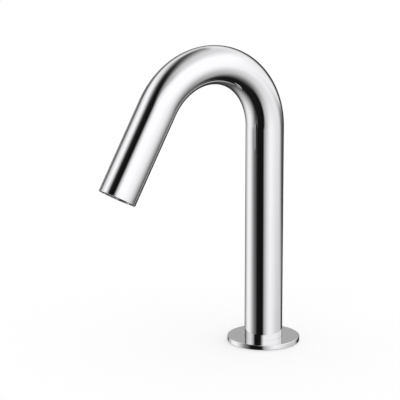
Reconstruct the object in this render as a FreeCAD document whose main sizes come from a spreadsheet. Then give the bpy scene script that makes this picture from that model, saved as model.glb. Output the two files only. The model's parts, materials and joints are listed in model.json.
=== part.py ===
import FreeCAD, Part
import math
import os
import re

import Sketcher

# A deck-mounted touch-free tap: one bent tube on a round base flange, with the water
# outlet and an infrared sensor side by side in the end of the spout.
#
# Frame: +Z is up and the origin is where the tube's axis meets the deck, so the flange
# stands on z = 0 and the fixing hangs below it. The spout reaches forwards, along -Y.
# "Across" is a place along Y, positive on the outer side of the bend at the foot.
# The outlet parts use the tip frame: its origin is the centre of the tube's end, its Z
# runs back up into the tube and its Y points at the inner side of the bend.
# All lengths are in millimetres and all angles in degrees.

SIZES = {
    # Spout tube
    "tube_diameter": 28.0,
    "tube_wall": 1.2,
    "tube_edge": 0.25,
    "straight_height": 162.8,
    "bend_radius": 51.0,
    "bend_angle": 150.0,
    "leg_length": 70.3,
    # Base flange and its seal
    "flange_diameter": 53.5,
    "flange_thickness": 3.5,
    "flange_edge": 0.4,
    "foot_recess": 1.2,
    "seal_diameter": 42.0,
    "seal_width": 4.0,
    "seal_thickness": 1.2,
    # Threaded shank
    "thread_diameter": 24.0,
    "thread_chamfer": 1.0,
    "shank_length": 60.0,
    "shank_bore": 17.4,
    "spigot_height": 16.0,
    "plug_bore": 19.0,
    "plug_bore_depth": 14.0,
    # Fixing under the deck
    "deck_thickness": 20.0,
    "rubber_diameter": 44.0,
    "rubber_thickness": 3.0,
    "washer_diameter": 42.0,
    "washer_thickness": 2.0,
    "nut_flats": 32.0,
    "nut_height": 8.0,
    "nut_chamfer": 0.6,
    # Hose and cable inside the tube
    "water_offset": 3.4,
    "hose_diameter": 9.0,
    "hose_bore": 6.0,
    "hose_stop": 1.0,
    "hose_tail": 11.5,
    "ferrule_wall": 0.7,
    "ferrule_length": 8.0,
    "ferrule_setback": 1.0,
    "cable_diameter": 2.6,
    "cable_foot_offset": 5.4,
    "cable_entry": 3.0,
    "spacer_thickness": 4.0,
    "lower_spacer_height": 60.0,
    "upper_spacer_height": 125.0,
    "leg_spacer_height": 52.0,
    # Inlet end
    "plug_rim_diameter": 21.6,
    "plug_rim": 2.5,
    "plug_reach": 12.0,
    "plug_ring_section": 1.2,
    "plug_ring_height": 6.0,
    "inlet_diameter": 10.0,
    "inlet_thread_length": 10.0,
    "inlet_flats": 11.0,
    "inlet_hex_height": 3.0,
    "inlet_neck": 7.9,
    "inlet_bore": 4.4,
    "inlet_chamfer": 0.6,
    "barb_depth": 0.25,
    "barb_pitch": 2.6,
    "barb_ridge": 2.0,
    "clip_diameter": 10.4,
    "clip_thickness": 0.6,
    "clip_groove": 0.7,
    "clip_land": 0.5,
    "grommet_diameter": 4.4,
    "grommet_flange": 5.8,
    "grommet_flange_thickness": 1.0,
    "grommet_length": 5.0,
    # Outlet head
    "face_recess": 1.0,
    "head_length": 25.0,
    "head_ring_section": 1.2,
    "head_ring_height": 20.2,
    "chamber_diameter": 13.2,
    "chamber_depth": 2.5,
    "water_bore": 4.6,
    "outlet_barb": 12.0,
    "screw_diameter": 3.0,
    "screw_length": 5.0,
    "screw_height": 16.0,
    "screw_sink": 0.2,
    "screw_socket": 1.5,
    "screw_socket_depth": 1.6,
    # Aerator
    "aerator_diameter": 16.5,
    "aerator_length": 7.7,
    "aerator_wall": 0.95,
    "aerator_lip": 0.8,
    "aerator_lip_thickness": 1.0,
    "key_slot_width": 2.2,
    "key_slot_depth": 0.8,
    "grid_thickness": 1.6,
    "grid_hole": 1.9,
    "grid_pitch": 2.6,
    "screen_thickness": 0.6,
    "screen_hole": 0.7,
    "screen_pitch": 1.9,
    "plate_thickness": 1.2,
    "plate_hole": 0.6,
    "plate_pitch": 2.8,
    "regulator_port": 1.3,
    "regulator_ring_diameter": 9.2,
    "regulator_ring_section": 1.4,
    "regulator_ring_depth": 1.1,
    "gasket_thickness": 1.5,
    "gasket_bore": 11.4,
    # Infrared sensor
    "sensor_offset": 8.5,
    "window_width": 11.0,
    "window_height": 4.2,
    "window_thickness": 1.2,
    "housing_wall": 0.5,
    "housing_length": 15.0,
    "board_thickness": 1.0,
    "board_height": 7.0,
    "diode_diameter": 3.0,
    "diode_length": 5.0,
    "diode_spacing": 5.8,
    "cap_thickness": 2.5,
    # Clearances, each on the radius or on one side
    "groove_room": 0.4,
    "slip_gap": 0.05,
    "soft_gap": 0.1,
    "loose_gap": 0.2,
}

# Radii and places that several pieces share
TUBE_R = "(tube_diameter / 2)"
TUBE_BORE_R = "(tube_diameter / 2 - tube_wall)"
THREAD_R = "(thread_diameter / 2)"
HOSE_R = "(hose_diameter / 2)"
HOSE_BORE_R = "(hose_bore / 2)"
CABLE_R = "(cable_diameter / 2)"
FOOT = "(flange_thickness - foot_recess)"
TILT = "(180 - bend_angle)"
TIP_ACROSS = "(-bend_radius * (1 - cos(bend_angle)) - leg_length * sin(bend_angle))"
TIP_UP = "(straight_height + bend_radius * sin(bend_angle) + leg_length * cos(bend_angle))"
PLUG_TOP = "(plug_reach - shank_length)"
RIM_UNDERSIDE = "(-shank_length - plug_rim)"
HEX_UNDERSIDE = f"({RIM_UNDERSIDE} - inlet_hex_height)"
HOSE_FOOT = f"({PLUG_TOP} + clip_groove + clip_land + hose_stop)"
HEAD_TOP = "(face_recess + head_length)"
HEAD_R = f"({TUBE_BORE_R} - loose_gap)"
HOSE_TIP = f"({HEAD_TOP} + hose_stop)"
AERATOR_R = "(aerator_diameter / 2)"
AERATOR_BORE_R = "(aerator_diameter / 2 - aerator_wall)"
INSERT_R = f"({AERATOR_BORE_R} - slip_gap)"
GRID_HEIGHT = "(face_recess + aerator_lip_thickness)"
SCREEN_HEIGHT = f"({GRID_HEIGHT} + grid_thickness)"
PLATE_HEIGHT = f"({SCREEN_HEIGHT} + screen_thickness)"
REGULATOR_HEIGHT = f"({PLATE_HEIGHT} + plate_thickness)"
GASKET_HEIGHT = "(face_recess + aerator_length)"
SEAT_HEIGHT = f"({GASKET_HEIGHT} + gasket_thickness)"
CHAMBER_TOP = f"({SEAT_HEIGHT} + chamber_depth)"
SCREW_REACH = f"({TUBE_R} - screw_sink - screw_length)"
HOUSING_WIDTH = "(window_width + 2 * housing_wall)"
HOUSING_HEIGHT = "(window_height + 2 * housing_wall)"
HOUSING_TOP = "(face_recess + housing_length)"

MATCH = 0.001
FULL_TURN = 360
HEX_CIRCLE = "1 / (2 * cos(30))"
KEY_SLOTS = 4
BARB_RIDGES = 3
# Holes in each ring of an aerator insert, by the ring's step out from the centre
GRID_RINGS = {0: 1, 1: 6, 2: 12}
SCREEN_RINGS = {1: 6, 2: 12, 3: 18}
PLATE_RINGS = {1: 12, 2: 20}
REGULATOR_PORTS = 6

doc = FreeCAD.newDocument("SensorTap")
sheet = doc.addObject("Spreadsheet::Sheet", "Sizes")
for row, (alias, value) in enumerate(SIZES.items(), start=1):
    sheet.set(f"A{row}", alias)
    sheet.set(f"B{row}", str(value))
    sheet.setAlias(f"B{row}", alias)
doc.recompute()

parts = []


def sized(formula):
    """The formula with each of its sizes read from the sheet."""
    return re.sub(r"[a-z_]+", lambda word: f"Sizes.{word[0]}" if word[0] in SIZES else word[0], formula)


def number(formula):
    """What the formula comes to now."""
    value = sheet.evalExpression(sized(formula))
    return float(getattr(value, "Value", value))


def origin_feature(body, role):
    """One of the body's own origin planes or axes."""
    return next(item for item in body.Origin.OriginFeatures if item.Role == role)


def new_body(label):
    """An empty body that will be the sub-part of this name."""
    body = doc.addObject("PartDesign::Body", label)
    body.Label = label
    parts.append(body)
    return body


def seat(body, across="0", up="0"):
    """Stands the body in the base frame."""
    body.setExpression("Placement.Base.y", sized(across))
    body.setExpression("Placement.Base.z", sized(up))


def place_leaning(item, placement, lean, across, up):
    """Leans an item's placement forwards and moves it to a point of the tip frame."""
    rotation = FreeCAD.Rotation(FreeCAD.Vector(-1, 0, 0), number(lean))
    setattr(item, placement, FreeCAD.Placement(FreeCAD.Vector(), rotation))
    item.setExpression(f"{placement}.Rotation.Angle", sized(f"{lean} * 1 deg"))
    base_across = f"{TIP_ACROSS} + ({across}) * cos({TILT}) + ({up}) * sin({TILT})"
    base_up = f"{TIP_UP} - ({across}) * sin({TILT}) + ({up}) * cos({TILT})"
    item.setExpression(f"{placement}.Base.y", sized(base_across))
    item.setExpression(f"{placement}.Base.z", sized(base_up))


def seat_at_tip(body, across="0", up="0", side="0"):
    """Stands the body in the tip frame."""
    place_leaning(body, "Placement", TILT, across, up)
    body.setExpression("Placement.Base.x", sized(side))


def new_sketch(body, role, height="0"):
    """An empty sketch on one of the body's origin planes, raised by a height."""
    sketch = body.newObject("Sketcher::SketchObject", "Sketch")
    sketch.AttachmentSupport = [(origin_feature(body, role), "")]
    sketch.MapMode = "FlatFace"
    sketch.setExpression("AttachmentOffset.Base.z", sized(height))
    return sketch


def fix(sketch, kind, value, *places):
    """One dimension of the sketch, bound to its formula."""
    index = sketch.addConstraint(Sketcher.Constraint(kind, *places, number(value)))
    sketch.setExpression(f"Constraints[{index}]", sized(value))


def fix_point(sketch, geometry, point, right, up):
    """Both coordinates of a point, from the sketch's origin."""
    fix(sketch, "DistanceX", right, -1, 1, geometry, point)
    fix(sketch, "DistanceY", up, -1, 1, geometry, point)


def add_polygon(sketch, corners):
    """A closed outline through the corners, each a pair of formulas."""
    points = [FreeCAD.Vector(number(right), number(up), 0) for right, up in corners]
    lines = [
        sketch.addGeometry(Part.LineSegment(start, end), False)
        for start, end in zip(points, points[1:] + points[:1])
    ]
    for line, following in zip(lines, lines[1:] + lines[:1]):
        sketch.addConstraint(Sketcher.Constraint("Coincident", line, 2, following, 1))
    for line, corner in zip(lines, corners):
        fix_point(sketch, line, 1, *corner)


def add_circle(sketch, radius, right="0", up="0"):
    """A circle of this radius about a point."""
    centre = FreeCAD.Vector(number(right), number(up), 0)
    circle = sketch.addGeometry(Part.Circle(centre, FreeCAD.Vector(0, 0, 1), number(radius)), False)
    fix(sketch, "Radius", radius, circle)
    fix_point(sketch, circle, 3, right, up)


def add_obround(sketch, width, height, up="0"):
    """A slot shape with round ends, wider than it is high."""
    half = f"((({width}) - ({height})) / 2)"
    radius = f"(({height}) / 2)"
    reach, size, level = number(half), number(radius), number(up)
    arcs = []
    for side, start in ((1, -90), (-1, 90)):
        circle = Part.Circle(FreeCAD.Vector(side * reach, level, 0), FreeCAD.Vector(0, 0, 1), size)
        arcs.append(Part.ArcOfCircle(circle, math.radians(start), math.radians(start + 180)))
    outline = [
        arcs[0],
        Part.LineSegment(arcs[0].EndPoint, arcs[1].StartPoint),
        arcs[1],
        Part.LineSegment(arcs[1].EndPoint, arcs[0].StartPoint),
    ]
    right, top, left, bottom = (sketch.addGeometry(shape, False) for shape in outline)
    for first, second in ((right, top), (top, left), (left, bottom), (bottom, right)):
        sketch.addConstraint(Sketcher.Constraint("Tangent", first, 2, second, 1))
    sketch.addConstraint(Sketcher.Constraint("Horizontal", top))
    fix_point(sketch, right, 3, half, up)
    fix_point(sketch, left, 3, f"-{half}", up)
    fix(sketch, "Radius", radius, right)


def finish_feature(body, feature, removes):
    """Recomputes the feature and makes sure that it adds or removes material."""
    before = 0 if body.Shape.isNull() else body.Shape.Volume
    body.Tip = feature
    doc.recompute()
    change = body.Shape.Volume - before
    if (change >= 0) if removes else (change <= 0):
        raise RuntimeError(f"{body.Label}: {feature.Name} changes the volume by {change:.4f}")


def revolve(body, sketch, removes=False):
    """Turns a sketch about the body's Z axis."""
    feature = body.newObject("PartDesign::Groove" if removes else "PartDesign::Revolution", "Turned")
    feature.Profile = sketch
    feature.ReferenceAxis = (origin_feature(body, "Z_Axis"), [""])
    feature.Angle = FULL_TURN
    finish_feature(body, feature, removes)


def turn(body, corners, removes=False):
    """Turns an outline of radius and height pairs about the body's Z axis."""
    sketch = new_sketch(body, "XZ_Plane")
    add_polygon(sketch, corners)
    revolve(body, sketch, removes)


def pad(body, sketch, length):
    """Raises a sketch along its normal."""
    feature = body.newObject("PartDesign::Pad", "Pad")
    feature.Profile = sketch
    feature.setExpression("Length", sized(length))
    finish_feature(body, feature, removes=False)


def cut(body, sketch, length, along_normal=True):
    """Cuts a sketch into the body."""
    feature = body.newObject("PartDesign::Pocket", "Pocket")
    feature.Profile = sketch
    feature.Reversed = along_normal
    feature.setExpression("Length", sized(length))
    finish_feature(body, feature, removes=True)
    return feature


def cut_round(body, radius, height, length, across="0", side="0"):
    """A round hole parallel to Z, from a height upwards."""
    sketch = new_sketch(body, "XY_Plane", height)
    add_circle(sketch, radius, side, across)
    return cut(body, sketch, length)


def repeat_round(body, feature, count):
    """Copies of a feature round the body's Z axis."""
    pattern = body.newObject("PartDesign::PolarPattern", "Pattern")
    pattern.Originals = [feature]
    pattern.Axis = (origin_feature(body, "Z_Axis"), [""])
    pattern.Angle = FULL_TURN
    pattern.Occurrences = count
    finish_feature(body, pattern, removes=True)


def hexagon(body, flats, height, length):
    """A hexagonal prism with two flats square to Y."""
    prism = body.newObject("PartDesign::AdditivePrism", "Hexagon")
    prism.Polygon = 6
    prism.AttachmentSupport = [(origin_feature(body, "XY_Plane"), "")]
    prism.MapMode = "FlatFace"
    prism.setExpression("AttachmentOffset.Base.z", sized(height))
    prism.setExpression("Circumradius", sized(f"({flats}) * {HEX_CIRCLE}"))
    prism.setExpression("Height", sized(length))
    finish_feature(body, prism, removes=False)


def edges_at(shape, radius, centre):
    """Names of the shape's circles of this radius about this point."""
    return [
        f"Edge{index}"
        for index, edge in enumerate(shape.Edges, start=1)
        if isinstance(edge.Curve, Part.Circle)
        and abs(edge.Curve.Radius - radius) < MATCH
        and edge.Curve.Center.distanceToPoint(centre) < MATCH
    ]


def ease_edge(body, kind, radius, size, up, across="0"):
    """Rounds or bevels the body's circular edge of this radius about a point."""
    base = body.Tip
    centre = FreeCAD.Vector(0, number(across), number(up))
    feature = body.newObject(f"PartDesign::{kind}", kind)
    feature.Base = (base, edges_at(base.Shape, number(radius), centre))
    feature.setExpression("Radius" if kind == "Fillet" else "Size", sized(size))
    finish_feature(body, feature, removes=True)


def ring(label, inner, outer, height):
    """A flat ring with square edges."""
    body = new_body(label)
    turn(body, [(inner, "0"), (outer, "0"), (outer, height), (inner, height)])
    return body


def round_ring(label, middle, section):
    """A ring of round section, lying on z = 0 and centred on Z."""
    body = new_body(label)
    sketch = new_sketch(body, "XZ_Plane")
    add_circle(sketch, f"({section}) / 2", middle, f"({section}) / 2")
    revolve(body, sketch)
    return body


def spine(body, foot, foot_offset, tip_offset, tip_gap):
    """A route inside the spout: up, round the bend and down to a height above the tip.

    The route keeps one offset from the tube's axis at the foot and another at the tip,
    so its arc has the radius that touches both straight runs.
    """
    shift = f"(({foot_offset}) - ({tip_offset})) / (1 - cos(bend_angle))"
    radius = f"(bend_radius + ({foot_offset}) - {shift})"
    rise = f"(straight_height - ({foot}))"
    run = f"(leg_length - ({tip_gap}) + {shift} * sin(bend_angle))"
    sketch = new_sketch(body, "YZ_Plane")
    start = FreeCAD.Vector(0, 0, 0)
    corner = FreeCAD.Vector(0, number(rise), 0)
    arc_radius = number(radius)
    circle = Part.Circle(corner - FreeCAD.Vector(arc_radius, 0, 0), FreeCAD.Vector(0, 0, 1), arc_radius)
    arc_shape = Part.ArcOfCircle(circle, 0, math.radians(number("bend_angle")))
    heading = math.radians(number("bend_angle + 90"))
    end = arc_shape.EndPoint
    tip = end + FreeCAD.Vector(math.cos(heading), math.sin(heading), 0) * number(run)
    riser = sketch.addGeometry(Part.LineSegment(start, corner), False)
    bend = sketch.addGeometry(arc_shape, False)
    leg = sketch.addGeometry(Part.LineSegment(end, tip), False)
    fix_point(sketch, riser, 1, "0", "0")
    fix_point(sketch, riser, 2, "0", rise)
    sketch.addConstraint(Sketcher.Constraint("Coincident", riser, 2, bend, 1))
    sketch.addConstraint(Sketcher.Constraint("Tangent", bend, 2, leg, 1))
    fix_point(sketch, bend, 3, f"-{radius}", rise)
    fix_point(
        sketch,
        leg,
        2,
        f"{radius} * (cos(bend_angle) - 1) - {run} * sin(bend_angle)",
        f"{rise} + {radius} * sin(bend_angle) + {run} * cos(bend_angle)",
    )
    return sketch


def swept(label, outer, inner, foot, foot_offset="0", tip_offset="0", tip_gap="0"):
    """A round tube, or a solid cable, along a route inside the spout."""
    body = new_body(label)
    seat(body, across=foot_offset, up=foot)
    section = new_sketch(body, "XY_Plane")
    add_circle(section, outer)
    if inner:
        add_circle(section, inner)
    pipe = body.newObject("PartDesign::AdditivePipe", "Pipe")
    pipe.Profile = section
    pipe.Spine = (spine(body, foot, foot_offset, tip_offset, tip_gap), ["Edge1", "Edge2", "Edge3"])
    finish_feature(body, pipe, removes=False)
    return body


def make_spout_tube():
    """The bent tube, its softened end and the hole for the screw that holds the head."""
    body = swept("spout_tube", TUBE_R, TUBE_BORE_R, FOOT)
    ease_edge(body, "Fillet", TUBE_R, "tube_edge", f"{TIP_UP} - {FOOT}", TIP_ACROSS)
    sketch = new_sketch(body, "XY_Plane")
    place_leaning(sketch, "AttachmentOffset", f"(90 + {TILT})", "0", "screw_height")
    sketch.setExpression(
        "AttachmentOffset.Base.z", sized(f"{TIP_UP} - {FOOT} + screw_height * cos({TILT})")
    )
    add_circle(sketch, "screw_diameter / 2 + soft_gap")
    cut(body, sketch, "tube_diameter")


def make_threaded_shank():
    """The hollow threaded tail, with a spigot and shoulder in the tube's foot."""
    body = new_body("threaded_shank")
    seat(body, up="-shank_length")
    shoulder = f"(shank_length + {FOOT})"
    top = f"({shoulder} + spigot_height)"
    spigot_r = f"({TUBE_BORE_R} - slip_gap)"
    turn(
        body,
        [
            ("plug_bore / 2", "0"),
            (f"{THREAD_R} - thread_chamfer", "0"),
            (THREAD_R, "thread_chamfer"),
            (THREAD_R, shoulder),
            (spigot_r, shoulder),
            (spigot_r, f"{top} - thread_chamfer"),
            (f"{spigot_r} - thread_chamfer", top),
            ("shank_bore / 2", top),
            ("shank_bore / 2", "plug_bore_depth"),
            ("plug_bore / 2", "plug_bore_depth"),
        ],
    )


def make_base_flange():
    """The round flange, recessed above for the tube's foot and grooved below for the seal."""
    body = new_body("base_flange")
    bore_r = f"({THREAD_R} + loose_gap)"
    recess_r = f"({TUBE_R} + soft_gap)"
    groove_in = "(seal_diameter / 2 - seal_width / 2 - soft_gap)"
    groove_out = "(seal_diameter / 2 + seal_width / 2 + soft_gap)"
    outer_r = "(flange_diameter / 2)"
    turn(
        body,
        [
            (bore_r, "0"),
            (groove_in, "0"),
            (groove_in, "seal_thickness"),
            (groove_out, "seal_thickness"),
            (groove_out, "0"),
            (outer_r, "0"),
            (outer_r, "flange_thickness"),
            (recess_r, "flange_thickness"),
            (recess_r, FOOT),
            (bore_r, FOOT),
        ],
    )
    ease_edge(body, "Fillet", outer_r, "flange_edge", "flange_thickness")
    ease_edge(body, "Chamfer", outer_r, "flange_edge / 2", "0")


def make_flange_seal():
    """The flat ring that seals the flange to the deck."""
    ring(
        "flange_seal",
        "seal_diameter / 2 - seal_width / 2",
        "seal_diameter / 2 + seal_width / 2",
        "seal_thickness",
    )


def make_washers():
    """The rubber and steel washers that the nut presses against the deck from below."""
    rubber = ring("rubber_washer", f"{THREAD_R} + loose_gap", "rubber_diameter / 2", "rubber_thickness")
    seat(rubber, up="-deck_thickness - rubber_thickness")
    steel = ring("steel_washer", f"{THREAD_R} + soft_gap", "washer_diameter / 2", "washer_thickness")
    seat(steel, up="-deck_thickness - rubber_thickness - washer_thickness")


def make_fixing_nut():
    """The thin hexagon nut on the shank."""
    body = new_body("fixing_nut")
    seat(body, up="-deck_thickness - rubber_thickness - washer_thickness - nut_height")
    bore_r = f"({THREAD_R} + slip_gap)"
    corner_r = f"(nut_flats * {HEX_CIRCLE})"
    slope = f"({corner_r} - nut_flats / 2) * tan(30)"
    hexagon(body, "nut_flats", "0", "nut_height")
    turn(
        body,
        [
            ("0", "0"),
            (f"{bore_r} + nut_chamfer", "0"),
            (bore_r, "nut_chamfer"),
            (bore_r, "nut_height - nut_chamfer"),
            (f"{bore_r} + nut_chamfer", "nut_height"),
            ("0", "nut_height"),
        ],
        removes=True,
    )
    past = f"({corner_r} + nut_chamfer)"
    past_slope = f"({slope} + nut_chamfer * tan(30))"
    turn(body, [("nut_flats / 2", "0"), (past, "0"), (past, past_slope)], removes=True)
    turn(
        body,
        [
            ("nut_flats / 2", "nut_height"),
            (past, f"nut_height - {past_slope}"),
            (past, "nut_height"),
        ],
        removes=True,
    )


def make_water_hose():
    """The flexible hose from the inlet nipple to the outlet head."""
    swept("water_hose", HOSE_R, HOSE_BORE_R, HOSE_FOOT, "-water_offset", "-water_offset", HOSE_TIP)


def make_sensor_cable():
    """The sensor's cable, from its grommet in the base plug to the back of the sensor."""
    foot = f"({RIM_UNDERSIDE} - grommet_flange_thickness)"
    tip = f"({HOUSING_TOP} - cable_entry)"
    swept("sensor_cable", CABLE_R, None, foot, "cable_foot_offset", "sensor_offset", tip)


def make_hose_spacers():
    """Foam discs that keep the hose and the cable off the tube's wall."""
    water_r = f"({HOSE_R} + soft_gap)"
    cable_r = f"({CABLE_R} + soft_gap)"
    for label, height in (
        ("lower_hose_spacer", "lower_spacer_height"),
        ("upper_hose_spacer", "upper_spacer_height"),
    ):
        body = ring(label, "0", f"{TUBE_BORE_R} - soft_gap", "spacer_thickness")
        cut_round(body, water_r, "0", "spacer_thickness", across="-water_offset")
        cut_round(body, cable_r, "0", "spacer_thickness", across="cable_foot_offset")
        seat(body, up=height)
    body = ring("leg_hose_spacer", "0", f"{TUBE_BORE_R} - soft_gap", "spacer_thickness")
    cut_round(body, water_r, "0", "spacer_thickness", across="water_offset")
    cut_round(body, cable_r, "0", "spacer_thickness", across="-sensor_offset")
    seat_at_tip(body, up="leg_spacer_height")


def make_ferrules():
    """The two crimped sleeves that hold the hose on its barbs."""
    outer = f"{HOSE_R} + ferrule_wall"
    lower = ring("lower_hose_ferrule", HOSE_R, outer, "ferrule_length")
    seat(lower, across="-water_offset", up=f"{HOSE_FOOT} + ferrule_setback")
    upper = ring("upper_hose_ferrule", HOSE_R, outer, "ferrule_length")
    seat_at_tip(upper, across="water_offset", up=f"{HOSE_TIP} + ferrule_setback")


def make_base_plug():
    """The plug that closes the shank and carries the inlet nipple and the cable's grommet."""
    body = new_body("base_plug")
    seat(body, up=RIM_UNDERSIDE)
    body_r = "(plug_bore / 2 - soft_gap)"
    floor_r = "(plug_bore / 2 - plug_ring_section)"
    top = "(plug_rim + plug_reach)"
    groove = "(plug_rim + plug_ring_height)"
    groove_top = f"({groove} + plug_ring_section + groove_room)"
    turn(
        body,
        [
            ("0", "0"),
            ("plug_rim_diameter / 2", "0"),
            ("plug_rim_diameter / 2", "plug_rim"),
            (body_r, "plug_rim"),
            (body_r, groove),
            (floor_r, groove),
            (floor_r, groove_top),
            (body_r, groove_top),
            (body_r, top),
            ("0", top),
        ],
    )
    cut_round(body, "inlet_neck / 2 + slip_gap", "0", top, across="-water_offset")
    cut_round(
        body, "grommet_diameter / 2 + slip_gap", "0", "grommet_length", across="cable_foot_offset"
    )
    cut_round(body, f"{CABLE_R} + soft_gap", "grommet_length", top, across="cable_foot_offset")


def make_base_plug_ring():
    """The round ring that seals the plug in the shank."""
    body = round_ring(
        "base_plug_o_ring", "plug_bore / 2 - plug_ring_section / 2", "plug_ring_section"
    )
    seat(body, up="-shank_length + plug_ring_height")


def make_inlet_nipple():
    """The inlet tail: a threaded end, a hexagon shoulder, a neck in the plug and a barb."""
    body = new_body("inlet_nipple")
    seat(body, across="-water_offset", up=f"{HEX_UNDERSIDE} - inlet_thread_length")
    thread_r = "(inlet_diameter / 2)"
    neck_r = "(inlet_neck / 2)"
    bore_r = "(inlet_bore / 2)"
    root_r = f"({HOSE_BORE_R} - barb_depth)"
    hex_top = "(inlet_thread_length + inlet_hex_height)"
    plug_top = f"({hex_top} + plug_rim + plug_reach)"
    groove_r = f"({neck_r} - clip_thickness)"
    neck_top = f"({plug_top} + clip_groove + clip_land)"
    barb = f"({neck_top} + hose_stop)"
    corners = [
        (bore_r, "0"),
        (f"{thread_r} - inlet_chamfer", "0"),
        (thread_r, "inlet_chamfer"),
        (thread_r, "inlet_thread_length"),
        (neck_r, "inlet_thread_length"),
        (neck_r, plug_top),
        (groove_r, plug_top),
        (groove_r, f"{plug_top} + clip_groove"),
        (neck_r, f"{plug_top} + clip_groove"),
        (neck_r, neck_top),
        (root_r, neck_top),
    ]
    for ridge in range(BARB_RIDGES):
        base = f"({barb} + ferrule_setback + {ridge} * barb_pitch)"
        corners += [
            (root_r, base),
            (HOSE_BORE_R, base),
            (root_r, f"{base} + barb_ridge"),
        ]
    end = f"({barb} + hose_tail)"
    corners += [(root_r, end), (bore_r, end)]
    turn(body, corners)
    hexagon(body, "inlet_flats", "inlet_thread_length", "inlet_hex_height")
    cut_round(body, bore_r, "inlet_thread_length", "inlet_hex_height")


def make_nipple_clip():
    """The open spring clip that holds the nipple down on the plug."""
    body = ring(
        "nipple_clip", "inlet_neck / 2 - clip_thickness + slip_gap", "clip_diameter / 2", "clip_thickness"
    )
    seat(body, across="-water_offset", up=PLUG_TOP)
    half = "(inlet_neck / 4)"
    sketch = new_sketch(body, "XY_Plane")
    add_polygon(
        sketch, [(f"-{half}", "0"), (half, "0"), (half, "clip_diameter"), (f"-{half}", "clip_diameter")]
    )
    cut(body, sketch, "clip_thickness")


def make_cable_grommet():
    """The flanged bush round the cable where it enters the plug."""
    body = new_body("cable_grommet")
    seat(body, across="cable_foot_offset", up=f"{RIM_UNDERSIDE} - grommet_flange_thickness")
    top = "(grommet_flange_thickness + grommet_length)"
    turn(
        body,
        [
            (CABLE_R, "0"),
            ("grommet_flange / 2", "0"),
            ("grommet_flange / 2", "grommet_flange_thickness"),
            ("grommet_diameter / 2", "grommet_flange_thickness"),
            ("grommet_diameter / 2", top),
            (CABLE_R, top),
        ],
    )


def make_outlet_head():
    """The moulded head in the spout's end, with the aerator's thread, the sensor's pocket and a barb."""
    body = new_body("outlet_head")
    seat_at_tip(body, up="face_recess")
    floor_r = f"({TUBE_BORE_R} - head_ring_section)"
    groove = "(head_ring_height - face_recess)"
    groove_top = f"({groove} + head_ring_section + groove_room)"
    turn(
        body,
        [
            ("0", "0"),
            (HEAD_R, "0"),
            (HEAD_R, groove),
            (floor_r, groove),
            (floor_r, groove_top),
            (HEAD_R, groove_top),
            (HEAD_R, "head_length"),
            ("0", "head_length"),
        ],
    )
    barb = new_sketch(body, "XY_Plane", "head_length")
    add_circle(barb, f"{HOSE_BORE_R} - slip_gap", "0", "water_offset")
    pad(body, barb, "outlet_barb")
    seat_local = f"({SEAT_HEIGHT} - face_recess)"
    chamber_local = f"({CHAMBER_TOP} - face_recess)"
    cut_round(body, f"{AERATOR_R} + slip_gap", "0", seat_local, across="water_offset")
    cut_round(body, "chamber_diameter / 2", seat_local, "chamber_depth", across="water_offset")
    cut_round(
        body, "water_bore / 2", chamber_local, "head_length + outlet_barb", across="water_offset"
    )
    pocket = new_sketch(body, "XY_Plane")
    add_obround(
        pocket, f"{HOUSING_WIDTH} + 2 * slip_gap", f"{HOUSING_HEIGHT} + 2 * slip_gap", "-sensor_offset"
    )
    cut(body, pocket, "housing_length")
    cut_round(
        body, f"{CABLE_R} + loose_gap", "housing_length", "head_length", across="-sensor_offset"
    )
    screw = new_sketch(body, "XZ_Plane", f"-{SCREW_REACH}")
    add_circle(screw, "screw_diameter / 2 + slip_gap", "0", "screw_height - face_recess")
    cut(body, screw, "screw_length", along_normal=False)


def make_head_ring():
    """The round ring that seals the head in the tube."""
    body = round_ring(
        "head_o_ring", f"{TUBE_BORE_R} - head_ring_section / 2", "head_ring_section"
    )
    seat_at_tip(body, up="head_ring_height")


def make_head_screw():
    """The grub screw through the inner side of the tube, with a hexagon socket."""
    body = new_body("head_screw")
    place_leaning(body, "Placement", f"(90 + {TILT})", SCREW_REACH, "screw_height")
    radius = "(screw_diameter / 2)"
    point = "(screw_diameter / 4)"
    turn(
        body,
        [
            ("0", "0"),
            (point, "0"),
            (radius, point),
            (radius, "screw_length"),
            ("0", "screw_length"),
        ],
    )
    socket = new_sketch(body, "XY_Plane", "screw_length - screw_socket_depth")
    corner = f"(screw_socket * {HEX_CIRCLE})"
    add_polygon(
        socket,
        [
            (f"{corner} * cos({60 * side})", f"{corner} * sin({60 * side})")
            for side in range(6)
        ],
    )
    cut(body, socket, "screw_socket_depth")


def make_aerator_shell():
    """The threaded ring that holds the aerator's insert, with slots for its key."""
    body = new_body("aerator_shell")
    seat_at_tip(body, across="water_offset", up="face_recess")
    edge = "(aerator_wall / 3)"
    lip_r = f"({AERATOR_BORE_R} - aerator_lip)"
    turn(
        body,
        [
            (lip_r, "0"),
            (f"{AERATOR_R} - {edge}", "0"),
            (AERATOR_R, edge),
            (AERATOR_R, "aerator_length"),
            (AERATOR_BORE_R, "aerator_length"),
            (AERATOR_BORE_R, "aerator_lip_thickness"),
            (lip_r, "aerator_lip_thickness"),
        ],
    )
    sketch = new_sketch(body, "XY_Plane")
    half = "(key_slot_width / 2)"
    add_polygon(
        sketch,
        [
            (f"-{half}", f"{lip_r} - aerator_lip"),
            (half, f"{lip_r} - aerator_lip"),
            (half, "aerator_diameter"),
            (f"-{half}", "aerator_diameter"),
        ],
    )
    slot = cut(body, sketch, "key_slot_depth")
    repeat_round(body, slot, KEY_SLOTS)


def drilled_disc(label, height, thickness, hole, pitch, rings):
    """A round insert of the aerator, drilled in rings of holes."""
    body = ring(label, "0", INSERT_R, thickness)
    seat_at_tip(body, across="water_offset", up=height)
    for step, count in rings.items():
        feature = cut_round(body, f"{hole} / 2", "0", thickness, side=f"{step} * {pitch}")
        if count > 1:
            repeat_round(body, feature, count)


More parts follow.
